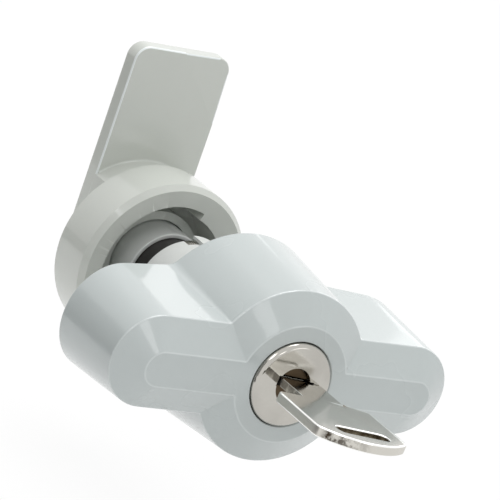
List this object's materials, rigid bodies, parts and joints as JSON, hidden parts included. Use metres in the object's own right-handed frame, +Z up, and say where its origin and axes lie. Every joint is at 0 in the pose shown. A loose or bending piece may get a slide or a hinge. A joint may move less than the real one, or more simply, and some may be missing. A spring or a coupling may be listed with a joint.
{
  "type": "cabinet key lock",
  "caption": "Wing-knob cabinet lock: a key cylinder in the knob blocks or frees the turn of a plastic cam whose long blade holds the door shut.",
  "frame": {"origin": "on the turning axis, in the plane where the gasket rests on the front of the door", "axes": "+Y along the turning axis from the key to the cam, +X along the wings to the right as seen from the front, +Z up along the cam's blade at rest"},
  "size_m": [0.0904, 0.1231, 0.0696],
  "materials": {
    "knob_plastic": "glossy",
    "cam_plastic": "glossy",
    "bush_plastic": "satin",
    "stem_plastic": "matt",
    "nickel": "polished",
    "steel": "zinc plated",
    "grey_plastic": "satin",
    "brass": "plain",
    "bronze": "darkened",
    "seal_rubber": "matt"
  },
  "bodies": {
    "door_fixing": {"guide_bush": "bush_plastic", "panel_gasket": "seal_rubber", "lock_washer": "steel", "bush_nut": "steel", "catch_block": "bush_plastic", "catch_screw": "steel"},
    "knob": {"knob_shell": "knob_plastic", "lock_housing": "nickel", "stem": "stem_plastic", "stem_screws": "steel", "stem_seal": "seal_rubber", "retaining_ring": "steel", "spacer_sleeve": "grey_plastic", "cam": "cam_plastic", "cam_washer": "steel", "spring_washer": "steel", "cam_screw": "steel"},
    "plug": {"key_plug": "nickel", "dust_flaps": "bronze", "wafers": "brass", "wafer_springs": "steel", "plug_clip": "steel", "drive_bar": "steel"},
    "key_piece": {"key": "nickel"},
    "tongue": {"locking_tongue": "nickel"}
  },
  "joints": [
    {"name": "knob_turn", "type": "hinge", "parent": "door_fixing", "child": "knob", "pos_m": [0, 0, 0], "axis": [0, 1, 0], "range_deg": [0, 90]},
    {"name": "key_turn", "type": "hinge", "parent": "knob", "child": "plug", "pos_m": [0, 0, 0], "axis": [0, 1, 0], "range_deg": [0, 90]},
    {"name": "key_pull", "type": "slide", "parent": "plug", "child": "key_piece", "axis": [0, -1, 0], "range_m": [0, 0.03]},
    {"name": "tongue_slide", "type": "slide", "parent": "knob", "child": "tongue", "axis": [0, 0, 1], "range_m": [0, 0.003]}
  ],
  "couplings": [
    {"joint": "key_turn", "follows": "tongue_slide", "rad_per_m": 523.6}
  ]
}
